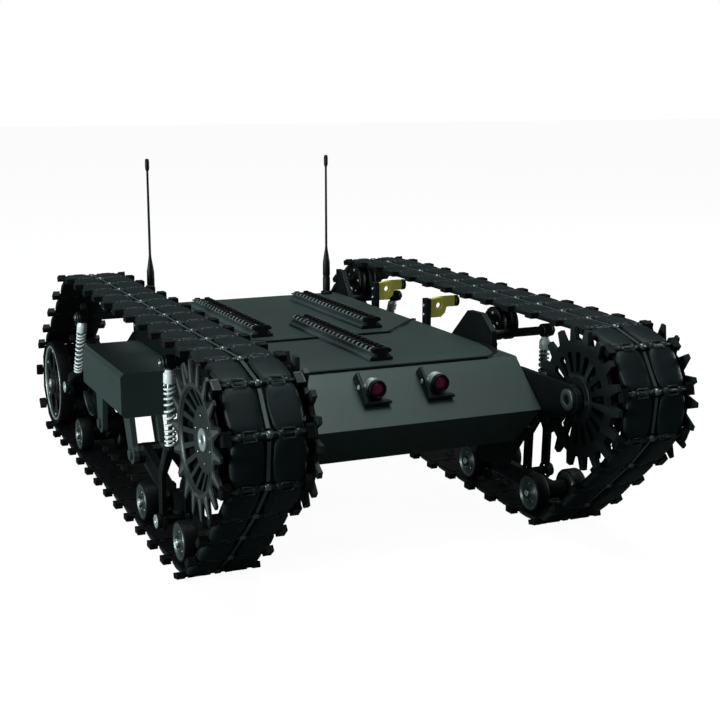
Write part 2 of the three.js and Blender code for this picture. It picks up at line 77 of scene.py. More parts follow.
# ---- Materials --------------------------------------------------------------------------------
def finish(name, low, high, rough, metal=0.0, grain=260.0, bump=0.1, spread=0.12, coat=0.0, wear=None,
           shine=0.5):
    """A node material: mottled colour, uneven roughness and a fine bump, with paler worn edges."""
    material = bpy.data.materials.new(name)
    material.use_nodes = True
    nodes = material.node_tree.nodes
    links = material.node_tree.links
    shader = nodes["Principled BSDF"]
    shader.inputs["Metallic"].default_value = metal
    shader.inputs["Specular IOR Level"].default_value = shine
    shader.inputs["Coat Weight"].default_value = coat
    shader.inputs["Coat Roughness"].default_value = 0.15
    place = nodes.new("ShaderNodeTexCoord").outputs["Object"]

    def noise(scale, detail):
        node = nodes.new("ShaderNodeTexNoise")
        node.inputs["Scale"].default_value = scale
        node.inputs["Detail"].default_value = detail
        links.new(place, node.inputs["Vector"])
        return node.outputs["Fac"]

    broad = noise(grain * 0.08, 4.0)
    fine = noise(grain * 6.0, 3.0)
    ramp = nodes.new("ShaderNodeValToRGB")
    ramp.color_ramp.elements[0].position = 0.3
    ramp.color_ramp.elements[0].color = (*low, 1)
    ramp.color_ramp.elements[1].position = 0.7
    ramp.color_ramp.elements[1].color = (*high, 1)
    links.new(broad, ramp.inputs["Fac"])
    colour = ramp.outputs["Color"]
    if wear:
        edge = nodes.new("ShaderNodeNewGeometry").outputs["Pointiness"]
        mask = nodes.new("ShaderNodeMapRange")
        mask.inputs["From Min"].default_value = 0.53
        mask.inputs["From Max"].default_value = 0.62
        mask.inputs["To Max"].default_value = 0.7
        links.new(edge, mask.inputs["Value"])
        mix = nodes.new("ShaderNodeMix")
        mix.data_type = "RGBA"
        links.new(mask.outputs["Result"], mix.inputs["Factor"])
        links.new(colour, mix.inputs["A"])
        mix.inputs["B"].default_value = (*wear, 1)
        colour = mix.outputs["Result"]
    links.new(colour, shader.inputs["Base Color"])
    gloss = nodes.new("ShaderNodeMapRange")
    gloss.inputs["To Min"].default_value = rough - spread / 2
    gloss.inputs["To Max"].default_value = rough + spread / 2
    links.new(noise(grain, 5.0), gloss.inputs["Value"])
    links.new(gloss.outputs["Result"], shader.inputs["Roughness"])
    relief = nodes.new("ShaderNodeBump")
    relief.inputs["Strength"].default_value = bump
    relief.inputs["Distance"].default_value = 0.0004
    links.new(fine, relief.inputs["Height"])
    links.new(relief.outputs["Normal"], shader.inputs["Normal"])
    return material


HULL = finish("hull_coat", (0.038, 0.058, 0.056), (0.048, 0.070, 0.068), 0.46, 0.2, grain=90, bump=0.10)
BLACK = finish("black_anodised", (0.0015, 0.0025, 0.003), (0.004, 0.006, 0.007), 0.42, 0.2, bump=0.12,
               wear=(0.03, 0.04, 0.04), shine=0.3)
PLASTIC = finish("black_plastic", (0.0015, 0.002, 0.002), (0.004, 0.005, 0.006), 0.50, 0.0, bump=0.2,
                 shine=0.25)
RUBBER = finish("track_rubber", (0.003, 0.007, 0.008), (0.009, 0.016, 0.018), 0.46, 0.0, grain=420, bump=0.4,
                spread=0.34, wear=(0.02, 0.03, 0.03), shine=0.2)
LINK = finish("link_steel", (0.002, 0.004, 0.004), (0.006, 0.009, 0.009), 0.36, 0.5, bump=0.2,
              wear=(0.035, 0.045, 0.045), shine=0.3)
BUCKLE = finish("buckle_wire", (0.018, 0.026, 0.028), (0.040, 0.052, 0.052), 0.42, 0.4, bump=0.08)
STEEL = finish("dull_steel", (0.14, 0.17, 0.17), (0.22, 0.25, 0.25), 0.30, 0.8, bump=0.08)
BRIGHT = finish("bright_steel", (0.38, 0.43, 0.44), (0.56, 0.61, 0.62), 0.32, 0.4, bump=0.06)
# Near white and barely metallic: the bright surroundings that the chrome reflects are painted into its
# colour.
CHROME_PAINTED_REFLECTION = finish("spring_chrome_painted_reflection", (0.84, 0.91, 0.92), (0.92, 0.98, 0.99), 0.34, 0.1, bump=0.04)
HUB = finish("hub_grey", (0.026, 0.034, 0.034), (0.040, 0.050, 0.050), 0.40, 0.4, bump=0.10,
             wear=(0.12, 0.14, 0.14))
RIM = finish("wheel_rim", (0.08, 0.10, 0.10), (0.13, 0.16, 0.16), 0.34, 0.6, bump=0.08)
RAIL = finish("rail_grey", (0.065, 0.085, 0.090), (0.090, 0.115, 0.120), 0.42, 0.3, bump=0.15)
# Pale colour for the outer chamfers of the rail teeth: a painted highlight.
TOOTH_HIGHLIGHT = finish("rail_teeth_highlight", (0.12, 0.14, 0.14), (0.22, 0.25, 0.25), 0.38, 0.4, bump=0.1)
YELLOW = finish("yellow_paint", (0.66, 0.60, 0.09), (0.78, 0.71, 0.13), 0.42, 0.0, bump=0.1)
LENS = finish("red_lens", (0.10, 0.002, 0.035), (0.36, 0.012, 0.10), 0.10, 0.0, grain=420, bump=0.0,
              spread=0.02, coat=0.5, shine=0.3)


# ---- Mesh building ----------------------------------------------------------------------------
class Build:
    """Collects closed shapes, each with its own material, into one mesh."""

    def __init__(self):
        self.bm = bmesh.new()
        self.materials = []

    def _index(self, material):
        if material not in self.materials:
            self.materials.append(material)
        return self.materials.index(material)

    def _add(self, points, faces, material, smooth=False):
        index = self._index(material)
        verts = [self.bm.verts.new(p) for p in points]
        for loop in faces:
            face = self.bm.faces.new([verts[i] for i in loop])
            face.material_index = index
            face.smooth = smooth
        return verts

    def plate(self, outline, holes, near, far, material, place):
        """An outline with holes, as (u, v) points, extruded along w from near to far and put in place."""
        rings = [outline, *holes]
        flat = [(u, v) for ring in rings for u, v in ring]
        count = len(flat)
        caps = tessellate_polygon([[Vector((u, v, 0)) for u, v in ring] for ring in rings])
        points = [place(u, v, near) for u, v in flat] + [place(u, v, far) for u, v in flat]
        faces = [tuple(c) for c in caps] + [tuple(i + count for i in reversed(c)) for c in caps]
        start = 0
        for ring in rings:
            size = len(ring)
            for i in range(size):
                a, b = start + i, start + (i + 1) % size
                faces.append((a, b, b + count, a + count))
            start += size
        self._add(points, faces, material)

    def slab(self, corners, material, place=None):
        """A closed eight-cornered block: four corners low, then the four above them."""
        faces = [(3, 2, 1, 0), (4, 5, 6, 7), (0, 1, 5, 4), (1, 2, 6, 5), (2, 3, 7, 6), (3, 0, 4, 7)]
        points = corners if place is None else [place(*c) for c in corners]
        self._add(points, faces, material)

    def box(self, low, high, material, place=None):
        (x0, y0, z0), (x1, y1, z1) = low, high
        corners = [(x0, y0, z0), (x1, y0, z0), (x1, y1, z0), (x0, y1, z0)]
        corners += [(x, y, z1) for x, y, _ in corners]
        self.slab(corners, material, place)

    def lathe(self, profile, place, material, segments=40, smooth=True):
        """A closed profile of (radius, along) points turned about the w axis and put in place."""
        points = []
        size = len(profile)
        for i in range(segments):
            c, s = math.cos(FULL * i / segments), math.sin(FULL * i / segments)
            points += [place(r * c, r * s, w) for r, w in profile]
        faces = []
        for i in range(segments):
            for k in range(size):
                a, b = i * size + k, i * size + (k + 1) % size
                c, d = (b + size) % len(points), (a + size) % len(points)
                faces.append((a, b, c, d))
        self._add(points, faces, material, smooth)

    def sweep(self, path, radius, material, sides=8, closed=False, place=None):
        """A round wire along a list of points."""
        points = [Vector(p) for p in path]
        count = len(points)
        made = []
        normal = None
        for i, p in enumerate(points):
            ahead = points[(i + 1) % count] if closed or i + 1 < count else p
            behind = points[i - 1] if closed or i > 0 else p
            along = (ahead - behind).normalized()
            if normal is None:
                normal = along.orthogonal().normalized()
            normal = (normal - along * normal.dot(along)).normalized()
            side = along.cross(normal)
            for k in range(sides):
                a = FULL * k / sides
                q = p + normal * (radius * math.cos(a)) + side * (radius * math.sin(a))
                made.append(place(*q) if place else tuple(q))
        faces = []
        for i in range(count if closed else count - 1):
            for k in range(sides):
                a, b = i * sides + k, i * sides + (k + 1) % sides
                c, d = ((i + 1) % count) * sides + (k + 1) % sides, ((i + 1) % count) * sides + k
                faces.append((a, b, c, d))
        if not closed:
            faces.append(tuple(range(sides - 1, -1, -1)))
            faces.append(tuple(range((count - 1) * sides, count * sides)))
        self._add(made, faces, material, True)

    def piece(self, name, body, replaces=(), bevel=0.0, segments=2):
        bmesh.ops.remove_doubles(self.bm, verts=self.bm.verts, dist=1e-5)
        loose = [v for v in self.bm.verts if not v.link_faces]
        bmesh.ops.delete(self.bm, geom=loose, context="VERTS")
        bmesh.ops.recalc_face_normals(self.bm, faces=self.bm.faces)
        mesh = bpy.data.meshes.new(name)
        self.bm.to_mesh(mesh)
        self.bm.free()
        mesh.transform(Matrix.Scale(MM, 4))
        obj = bpy.data.objects.new(name, mesh)
        bpy.context.scene.collection.objects.link(obj)
        for material in self.materials:
            mesh.materials.append(material)
        if bevel:
            soften(obj, bevel, segments)
        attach(obj, body)
        if replaces:
            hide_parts(*replaces)
        return obj


def soften(obj, width, segments=2):
    """Rounds the sharp edges a little, so that they catch the light."""
    modifier = obj.modifiers.new("edge", "BEVEL")
    modifier.width = width * MM
    modifier.segments = segments
    modifier.limit_method = "ANGLE"
    modifier.angle_limit = math.radians(32)
    modifier.harden_normals = False
    modifier.use_clamp_overlap = True


def keep(node, material, width=0.5):
    """A CAD node that stays, with a better material and softened edges."""
    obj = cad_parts[node]
    obj.data.materials.clear()
    obj.data.materials.append(material)
    weld = obj.modifiers.new("weld", "WELD")
    weld.merge_threshold = 0.00001
    if width:
        soften(obj, width)


def circle(r, count, turn=0.0, at=(0.0, 0.0)):
    return [(at[0] + r * math.cos(turn + FULL * i / count), at[1] + r * math.sin(turn + FULL * i / count))
            for i in range(count)]


def on_axle(at, side):
    """Places (u, v) in the (y, z) plane round a point, and w as a distance from the middle."""
    return lambda u, v, w: (side * w, at[0] + u, at[1] + v)


def bolt(build, place, r, near, far, material, recess=True):
    """A round-headed cap screw with a hexagonal socket, standing along w."""
    head = abs(far - near)
    sign = 1 if far > near else -1
    if recess:
        floor = far - sign * head * 0.5
        profile = [(0.01, near), (r, near), (r, far - sign * head * 0.25), (r * 0.82, far), (r * 0.45, far),
                   (r * 0.4, floor), (0.01, floor)]
    else:
        profile = [(0.01, near), (r, near), (r, far - sign * head * 0.3), (r * 0.7, far), (0.01, far)]
    build.lathe(profile, place, material, 16)


# ---- Hull, lids and rails ------------------------------------------------------------------------
for node in ("hull_shell", "front_lid", "rear_lid"):
    keep(node, HULL, 0.7)

# The thin rubber seal round the front lid is drawn as a black strip, wider and higher than the seal, which
# also paints in the shade in the seam: together they make the dark line round the lid.
def seam(build, line, half=2.3):
    left, right = [], []
    for i, p in enumerate(line):
        a = Vector(line[max(0, i - 1)])
        b = Vector(line[min(len(line) - 1, i + 1)])
        along = (b - a).normalized()
        out = Vector((-along.y, along.x)) * half
        left.append((p[0] + out.x, p[1] + out.y))
        right.append((p[0] - out.x, p[1] - out.y))
    for i in range(len(line) - 1):
        quad = [left[i], left[i + 1], right[i + 1], right[i]]
        build.slab([(x, y, DECK_Z - 0.6) for x, y in quad] + [(x, y, DECK_Z + 1.8) for x, y in quad], PLASTIC)


def lid_corner(sign):
    """The front lid's rounded corner, from its side edge to its front edge."""
    a, b, c = Vector((129.0, -165.0)), Vector((123.0, -220.5)), Vector((98.0, -228.7))
    points = []
    for i in range(9):
        t = i / 8
        p = a * (1 - t) ** 2 + b * 2 * t * (1 - t) + c * t**2
        points.append((sign * p.x, p.y))
    return points


# Black strips round the front lid: its seal, and painted shade in the seam.
seal_and_seam_shade = Build()
seam(seal_and_seam_shade, [(-128.8, -8.0), (-70, -69.4), (70, -69.4), (128.8, -8.0)])
seam(seal_and_seam_shade, lid_corner(-1) + lid_corner(1)[::-1])
seal_and_seam_shade.piece("lid_seal_and_shade", "hull")

for place_name, (x, front) in RAILS.items():
    floor = DECK_Z + 0.4
    rail = Build()
    lower = [(-12, 0), (12, 0), (12, 2.4), (7.6, 6.4), (10.6, 8), (10.6, 9), (3.2, 9), (3.2, 7.6),
             (-3.2, 7.6), (-3.2, 9), (-10.6, 9), (-10.6, 8), (-7.6, 6.4), (-12, 2.4)]
    section = lambda u, v, w, x=x: (x + u, w, floor + v)
    end = front + RAIL_LENGTH
    rail.plate(lower, [], front + 1.5, end, RAIL, section)
    cap = [(-12, 0), (12, 0), (12, 3), (5.5, 3), (5.5, 6.4), (10.6, 8), (10.6, 9.6), (8, 12),
           (-8, 12), (-10.6, 9.6), (-10.6, 8), (-5.5, 6.4), (-5.5, 3), (-12, 3)]
    rail.plate(cap, [], front, front + 1.6, PLASTIC, section)
    rail.box((-10.2, front + 1.7, 8.7), (10.2, end - 0.1, 9.2), PLASTIC,
             lambda u, v, w, x=x: (x + u, v, floor + w))
    for i in range(RAIL_TEETH):
        y = front + 4.6 + i * RAIL_PITCH
        for sign in (-1, 1):
            # Each tooth is black; a thin pale skin over its outer chamfer paints in the highlight that the
            # chamfer catches.
            tooth = [(3.2, 8.9), (10.3, 8.9), (10.3, 9.5), (7.9, 11.8), (3.2, 11.8)]
            highlight_skin = [(10.2, 8.4), (10.7, 8.4), (10.7, 9.7), (8.2, 12), (7.6, 11.9)]
            rail.plate([(sign * u, v) for u, v in tooth], [], y, y + 4.8, PLASTIC, section)
            rail.plate([(sign * u, v) for u, v in highlight_skin], [], y + 0.2, y + 4.6, TOOTH_HIGHLIGHT, section)
    for y in (front + 22, front + 107.5, front + 193):
        bolt(rail, lambda u, v, w, x=x, y=y: (x + u, y + v, floor + w), 2.7, 7.5, 9.4, BRIGHT)
    rail.piece(f"rail_{place_name}_toothed", "hull", [f"rail_{place_name}"], bevel=0.25,
               segments=1)


# ---- Antennas ---------------------------------------------------------------------------------------
for name, side in SIDES:
    mast = Build()
    profile = [(0.01, 0), (7, 0), (7, 2.4), (6.2, 3.2), (4.4, 3.4), (4.6, 5), (4.6, 20), (4.2, 21), (4.2, 23),
               (4.6, 24), (4.4, 40), (3.0, 49), (1.9, 56), (1.5, 60), (1.3, 158), (2.1, 160), (2.5, 162),
               (2.5, 170), (1.9, 172.5), (0.01, 172.9)]
    mast.lathe(profile, lambda u, v, w, s=side: (s * 113 + u, 209.5 + v, DECK_Z + 0.4 + w), PLASTIC, 28)
    mast.piece(f"antenna_whip_{name}", "hull", [f"antenna_{name}"])


# ---- Nose lamps -----------------------------------------------------------------------------------------
for name, x in (("left", -32.0), ("right", 32.0)):
    keep(f"lamp_bracket_{name}", BLACK, 0.35)
    across = lambda u, v, w, x=x: (x + u, w, 158.0 + v)
    body = Build()
    body.lathe([(0.01, -246), (7.0, -246), (8.6, -247.5), (8.6, -257.5), (8.1, -258), (6.9, -258),
                (6.9, -256), (0.01, -256)], across, BRIGHT, 40)
    body.lathe([(7.0, -256.6), (8.55, -256.6), (8.6, -257.4), (8.6, -261.2), (8.0, -262), (7.2, -262),
                (6.6, -260.6), (6.6, -256.6)], across, PLASTIC, 40)
    for i in range(3):
        w = -249.4 - i * 2.2
        body.lathe([(8.3, w), (8.85, w + 0.3), (8.85, w + 0.9), (8.3, w + 1.2)], across, BRIGHT, 40)
    bolt(body, lambda u, v, w, x=x: (x + w, -250 + u, 159 + v), 2.5, -8, -15, BRIGHT)
    body.piece(f"lamp_can_{name}", f"lamp_{name}", [f"lamp_body_{name}"], bevel=0.15,
               segments=1)
    glass = Build()
    dome = [(6.6 * math.sin(a), -258.6 - 2.9 * math.cos(a)) for a in (i * math.pi / 16 for i in range(9))]
    glass.lathe([(max(r, 0.01), w) for r, w in dome] + [(6.6, -257.6), (0.01, -257.6)], across, LENS, 40)
    glass.piece(f"lamp_glass_{name}", f"lamp_{name}", [f"lamp_lens_{name}"])


# ---- Track links ----------------------------------------------------------------------------------------
def loop_outline(step=math.pi / 15):
    """The pin line of the belt: the same polygon round the same circles as the solid belt."""
    points = []
    tangents = []
    for i, (at, r) in enumerate(LOOP):
        nxt, nr = LOOP[(i + 1) % len(LOOP)]
        dy, dz = nxt[0] - at[0], nxt[1] - at[1]
        tangents.append(math.atan2(dz, dy) - math.pi / 2 - math.asin((nr - r) / math.hypot(dy, dz)))
    for i, (at, r) in enumerate(LOOP):
        start = tangents[i - 1]
        turn = (tangents[i] - start) % FULL
        count = max(1, math.ceil(turn / step))
        for k in range(count + 1):
            a = start + turn * k / count
            points.append((at[0] + r * math.cos(a), at[1] + r * math.sin(a)))
    return points


OUTLINE = loop_outline()
LENGTHS = [math.dist(p, OUTLINE[(i + 1) % len(OUTLINE)]) for i, p in enumerate(OUTLINE)]
LOOP_LENGTH = sum(LENGTHS)
LINKS = round(LOOP_LENGTH / LINK_PITCH)


def walk(distance):
    left = distance % LOOP_LENGTH
    for i, length in enumerate(LENGTHS):
        if left <= length and length > 0:
            a, b = OUTLINE[i], OUTLINE[(i + 1) % len(OUTLINE)]
            t = left / length
            return Vector((a[0] + (b[0] - a[0]) * t, a[1] + (b[1] - a[1]) * t))
        left -= length
    return Vector(OUTLINE[0])


def link(build, start, end, side):
    """One link between two pins: a web, two domed pads on steel bases, a centre bar and a guide horn."""
    middle = (start + end) / 2
    along = (end - start).normalized()
    out = Vector((along.y, -along.x))
    length = (end - start).length

    def place(u, v, w):  # u from the middle of the hull, v along the belt, w outwards
        p = middle + along * v + out * w
        return (side * u, p.x, p.y)

    centre = (BELT[0] + BELT[1]) / 2
    half = length / 2
    # A steel web across the link, then the base of each pad and the pad: a hexagon drawn in to make a dome.
    inner, outer, reach = BELT[0] + 1, BELT[1] - 1, half - 2.0
    web = [(inner, -reach), (outer, -reach), (outer, reach), (inner, reach)]
    build.plate(web, [], -3.4, -1.6, PLASTIC, place)
    for low, high in ((BELT[0] + 0.6, centre - 3.6), (centre + 3.6, BELT[1] - 0.6)):
        mid, wide = (low + high) / 2, (high - low) / 2
        base = [(low + 1.5, -half + 4.4), (high - 1.5, -half + 4.4), (high - 1.5, half - 4.4),
                (low + 1.5, half - 4.4)]
        build.plate(base, [], -3.2, 0.2, LINK, place)

        def hexagon(k, w):
            e = half - 1.2
            shape = [(-1.0, 0.0), (-0.92, 0.68), (-0.70, 0.96), (0.0, 1.0), (0.70, 0.96), (0.92, 0.68),
                     (1.0, 0.0), (0.92, -0.68), (0.70, -0.96), (0.0, -1.0), (-0.70, -0.96), (-0.92, -0.68)]
            return [place(mid + a * (wide + 0.4) * k, b * e * k, w) for a, b in shape]

        levels = [(0.97, -1.2), (1.0, 0.6), (0.96, 1.9), (0.84, 2.9), (0.60, 3.4)]
        points = [p for k, w in levels for p in hexagon(k, w)] + [place(mid, 0, 3.5), place(mid, 0, -1.2)]
        faces = []
        for level in range(len(levels) - 1):
            for i in range(12):
                a, b = level * 12 + i, level * 12 + (i + 1) % 12
                faces.append((a, b, b + 12, a + 12))
        top, under = len(levels) * 12, len(levels) * 12 + 1
        last = (len(levels) - 1) * 12
        faces += [(last + i, last + (i + 1) % 12, top) for i in range(12)]
        faces += [((i + 1) % 12, i, under) for i in range(12)]
        build._add(points, faces, RUBBER, True)
    # The centre connector: a bar between two eyes on the pins.
    build.box((centre - 1.6, -half + 5.0, -2.4), (centre + 1.6, half - 5.0, 1.4), RIM, place)
    # Guide horn on the inner face, which runs between the wheels' two discs.
    horn = [(-5.0, -3.2), (5.0, -3.2), (2.2, -9.5), (-2.2, -9.5)]
    build.plate(horn, [], centre - 3.2, centre + 3.2, LINK, lambda v, w, u: place(u, v, w))


def joint(build, before, pin, after, side):
    """What sits on a pin: the rod, two knuckles each side of the middle, an eye, buckles and both lugs."""
    along = (after - before).normalized()
    out = Vector((along.y, -along.x))

    def place(u, v, w):  # nothing dips under the ground, which the shoes stand on
        p = pin + along * v + out * w
        return (side * u, p.x, max(p.y, 0.05))

    centre = (BELT[0] + BELT[1]) / 2
    axle = lambda u, v, w: place(w, u, v)

    def knuckle(low, high, material, segments):
        build.lathe([(1.6, low), (3.3, low), (3.3, high), (1.6, high)], axle, material, segments)

    build.lathe([(0.01, BELT[0]), (2.4, BELT[0]), (2.4, BELT[1]), (0.01, BELT[1])], axle, LINK, 12)
    knuckle(centre - 2.6, centre + 2.6, STEEL, 14)
    for low, high in ((BELT[0] + 5, BELT[0] + 11), (centre - 13, centre - 7), (centre + 7, centre + 13),
                      (BELT[1] - 11, BELT[1] - 5)):
        knuckle(low, high, LINK, 12)
    # Thin wire buckles that tie one pad to the next.
    for mid in ((BELT[0] + centre) / 2, (BELT[1] + centre) / 2):
        w, l, z = 5.2, 4.1, 2.2
        wire = [(mid - w, -l, z), (mid + w, -l, z), (mid + w, l, z), (mid - w, l, z)]
        build.sweep(wire, 0.75, BUCKLE, 6, True, place)
    for low, high in LUGS:
        build.box((low, -6.0, -2.8), (high, 6.0, 2.8), PLASTIC, place)
        edge = high - 0.1 if low > centre else low + 0.1
        sign = 1 if low > centre else -1
        for width, end in ((7.0, -3.9), (1.3, 5.6)):  # an L of lighter metal along two edges of the lug: a painted highlight on those edges
            inner = edge - sign * width
            build.box((min(edge, inner), -5.6, 2.3), (max(edge, inner), end, 3.05), LINK, place)


for name, side in SIDES:
    step = LOOP_LENGTH / LINKS
    pins = [walk(FIRST_PIN + i * step) for i in range(LINKS)]
    belt = Build()
    for i in range(LINKS):
        link(belt, pins[i], pins[(i + 1) % LINKS], side)
        joint(belt, pins[i - 1], pins[i], pins[(i + 1) % LINKS], side)
    belt.piece(f"track_links_{name}", "hull", [f"track_{name}"])


# ---- Sprockets, idlers, road wheels and rollers --------------------------------------------------------
def tooth_outline(root, tip, broad=0.28, narrow=0.13):
    """A ring of teeth, each with a share of the pitch at its root and a smaller share at its tip."""
    pitch = FULL / TEETH
    points = []
    for i in range(TEETH):
        for share, r in ((-broad, root), (-narrow, tip), (narrow, tip), (broad, root)):
            a = i * pitch + share * pitch
            points.append((r * math.cos(a), r * math.sin(a)))
    return points


def slot_ring(inner, outer, count, share, turn=0.0):
    """Radial slots with rounded ends, as holes for a plate."""
    holes = []
    for i in range(count):
        a = turn + FULL * i / count
        ring = []
        for r, angles in ((outer, (-0.5, -0.25, 0.25, 0.5)), (inner, (0.5, 0.2, -0.2, -0.5))):
            for k in angles:
                b = a + k * share * FULL / count
                bulge = 1 + (0.03 if abs(k) < 0.4 else 0.0) * (1 if r == outer else -1)
                ring.append((r * bulge * math.cos(b), r * bulge * math.sin(b)))
        holes.append(ring)
    return holes


for name, side in SIDES:
    at = on_axle(SPROCKET, side)
    wheel = Build()
    half_step = math.pi / TEETH
    wheel.plate(tooth_outline(54, 65.8), slot_ring(25, 42, TEETH, 0.52, half_step), 138.0, 142.4, BLACK, at)
    wheel.lathe([(0.01, AXLE_START), (8.6, AXLE_START), (8.6, 137.4), (20, 137.4), (21.5, 138.4),
                 (0.01, 138.4)], at, BLACK, 40)
    slots = slot_ring(26, 42, TEETH, 0.5, half_step)
    wheel.plate(tooth_outline(47, 57), [circle(5.4, 24)] + slots, 153, 158, BLACK, at)
    wheel.lathe([(0.01, 142), (24, 142), (24, 150), (20, 156), (20, 203), (24, 205), (50, 205), (50, 207),
                 (24, 209), (0.01, 209)], at, BLACK, 48)
    # The outer ring of pointed teeth stands proud of a dish: a flat hub plate, then slotted spokes.
    wheel.plate(tooth_outline(51, 65.8, broad=0.38, narrow=0.10), [circle(43, 72)], 221.1, 223.4, BLACK, at)
    wheel.lathe([(41.5, 219.6), (45, 221.2), (47, 221.2), (47, 223.6), (43.6, 223.6), (41.5, 221.4)],
                at, HUB, 72)
    wheel.lathe([(22, 208), (27, 209), (50, 217.4), (50, 219.6), (27, 212), (22, 212)], at, BLACK, 60)
    for i in range(TEETH):
        a = FULL * i / TEETH
        c, s = math.cos(a), math.sin(a)

        def spoke(u, v, w, c=c, s=s):  # leans outwards from the hub plate to the toothed ring
            return at(u * c - v * s, u * s + v * c, w + max(0.0, u - 27) * 0.36)

        wheel.plate([(26, -1.9), (44, -2.6), (44, 2.6), (26, 1.9)], [], 213.6, 215.8, BLACK, spoke)
        # A thin lighter plate on the outer face of each tooth paints in the highlight along the teeth's lit
        # outlines.
        tooth = lambda u, v, w, c=c, s=s: at(u * c - v * s, u * s + v * c, w)
        wheel.plate([(46.5, -3.4), (64.5, -0.9), (64.5, 0.9), (46.5, 3.4)], [], 223.2, 223.6, HUB, tooth)
    wheel.lathe([(0.01, 209), (22, 209), (27, 212.4), (28.4, 214), (28.4, 215.6), (27.4, 216.4), (13, 216.4),
                 (11.6, 215.6), (0.01, 215.6)], at, HUB, 60)
    wheel.lathe([(4.2, 215), (9.6, 215), (9.6, 217.6), (8.6, 218.4), (5.2, 218.4), (4.2, 217.4)],
                at, BRIGHT, 36)
    for i in range(6):
        u, v = circle(19.5, 6, 0.3)[i]
        bolt(wheel, lambda a, b, w, u=u, v=v: at(u + a, v + b, w), 1.8, 216.2, 217.6, STEEL, False)
    wheel.piece(f"sprocket_wheel_{name}", f"sprocket_{name}", [f"sprocket_{name}"], bevel=0.3,
                segments=1)

    bearing = Build()
    bearing.lathe([(4.7, 127.9), (10, 127.9), (10, 127.0), (9.2, 126.4), (5.4, 126.4), (4.7, 127.0)],
                  at, RIM, 36)
    bearing.piece(f"sprocket_bearing_{name}", "hull")

    at = on_axle(IDLER, side)
    idler = Build()
    for near, far, face in ((152.0, 166.0, 152.0), (196.0, 212.0, 212.0)):
        sign = 1 if face == far else -1
        back = near if face == far else far
        idler.lathe([(46.5, near + 0.4), (51.6, near), (52.3, near + 1), (52.3, far - 1), (51.6, far),
                     (46.5, far - 0.4)], at, PLASTIC, 72)
        idler.lathe([(45.0, face - sign * 1.0), (45.4, face - sign * 0.1), (46.6, face - sign * 0.1),
                     (46.9, face - sign * 1.0), (46.9, back + sign * 1.0), (45.0, back + sign * 1.0)],
                    at, BRIGHT, 72)
        idler.lathe([(42.5, face - sign * 2.4), (43.2, face - sign * 1.6), (45.2, face - sign * 1.4),
                     (45.2, back + sign * 1.2), (42.5, back + sign * 1.2)], at, HUB, 72)
        windows = slot_ring(20, 38, 6, 0.62)
        idler.plate(circle(43.2, 60), [circle(6.4, 24)] + windows, min(face - sign * 5.5, face - sign * 3.0),
                    max(face - sign * 5.5, face - sign * 3.0), BLACK, at)
        idler.lathe([(6.4, face - sign * 6), (17, face - sign * 6), (17, face - sign * 2.2),
                     (14, face - sign * 1.2), (6.4, face - sign * 1.2)], at, BLACK, 40)
    idler.lathe([(6.4, 146), (13.6, 146), (14, 147), (14, 212), (13.2, 213), (6.4, 213)], at, BLACK, 36)
    idler.lathe([(0.01, AXLE_START), (6.0, AXLE_START), (6.6, 146), (6.6, 213.4), (0.01, 213.4)],
                at, LINK, 24)
    bolt(idler, at, 5.4, 213, 215.4, BRIGHT)
    for i in range(6):
        u, v = circle(40.4, 6, math.pi / 6)[i]
        bolt(idler, lambda a, b, w, u=u, v=v: at(u + a, v + b, w), 1.6, 208.6, 210.2, BRIGHT, False)
    idler.piece(f"idler_wheel_{name}", f"idler_{name}", [f"idler_{name}"], bevel=0.3,
                segments=1)

    for key, y in WHEELS.items():
        at = on_axle((y, WHEEL_Z), side)
        road = Build()
        for near, far, face in ((152.0, 166.0, 152.0), (196.0, 210.5, 210.5)):
            sign = 1 if face == far else -1
            road.lathe([(16.6, near + 0.5), (18.4, near), (19, near + 1.2), (19, far - 1.2), (18.4, far),
                        (16.6, far - 0.5)], at, PLASTIC, 56)
            other = near if face == far else far
            road.lathe([(0.01, other), (17, other), (17, face - sign * 0.5), (16.5, face + sign * 0.1),
                        (15.6, face + sign * 0.1), (15.2, face - sign * 2), (0.01, face - sign * 2)],
                       at, RIM, 56)
            road.lathe([(0.01, face - sign * 3), (15.1, face - sign * 3), (15.1, face - sign * 1.8),
                        (7.4, face - sign * 1.4), (6.4, face - sign * 0.4), (0.01, face - sign * 0.4)],
                       at, HUB, 40)
            bolt(road, at, 3.6, face - sign * 1, face + sign * 2.2, BRIGHT)
            for i in range(5):
                u, v = circle(9.3, 5, 0.2)[i]
                bolt(road, lambda a, b, w, u=u, v=v: at(u + a, v + b, w), 0.9, face - sign * 2.2,
                     face - sign * 1.2, BRIGHT, False)
        road.lathe([(0.01, 150), (5.9, 150), (5.9, 212), (0.01, 212)], at, LINK, 28)
        node = f"road_wheel_{key}_{name}"
        road.piece(f"wheel_{key}_{name}", node, [node])

    for key, centre, r in (("corner", CORNER, 20.0), ("tower", TOWER_ROLLER, 17.5)):
        at = on_axle(centre, side)
        roller = Build()
        roller.lathe([(4.9, 150), (r - 3, 150), (r - 0.6, 150.2), (r, 151.2), (r, 157.5), (r - 3.4, 158.5),
                      (r - 3.4, 163.5), (r, 164.5), (r, 170.8), (r - 0.6, 171.8), (r - 3, 172), (4.9, 172)],
                     at, PLASTIC, 48)
        roller.lathe([(0.01, AXLE_START), (4.5, AXLE_START), (4.9, 150), (4.9, 173.4), (4.2, 174),
                      (0.01, 174)], at, LINK, 24)
        for face, sign in ((150.0, -1), (172.0, 1)):
            for i in range(5):
                u, v = circle(r - 6.2, 5, 0.5)[i]
                bolt(roller, lambda a, b, w, u=u, v=v: at(u + a, v + b, w), 1.7, face - sign * 0.2,
                     face + sign * 1.3, BRIGHT, False)
        node = f"{key}_roller_{name}"
        roller.piece(f"{key}_roller_wheel_{name}", node, [node])


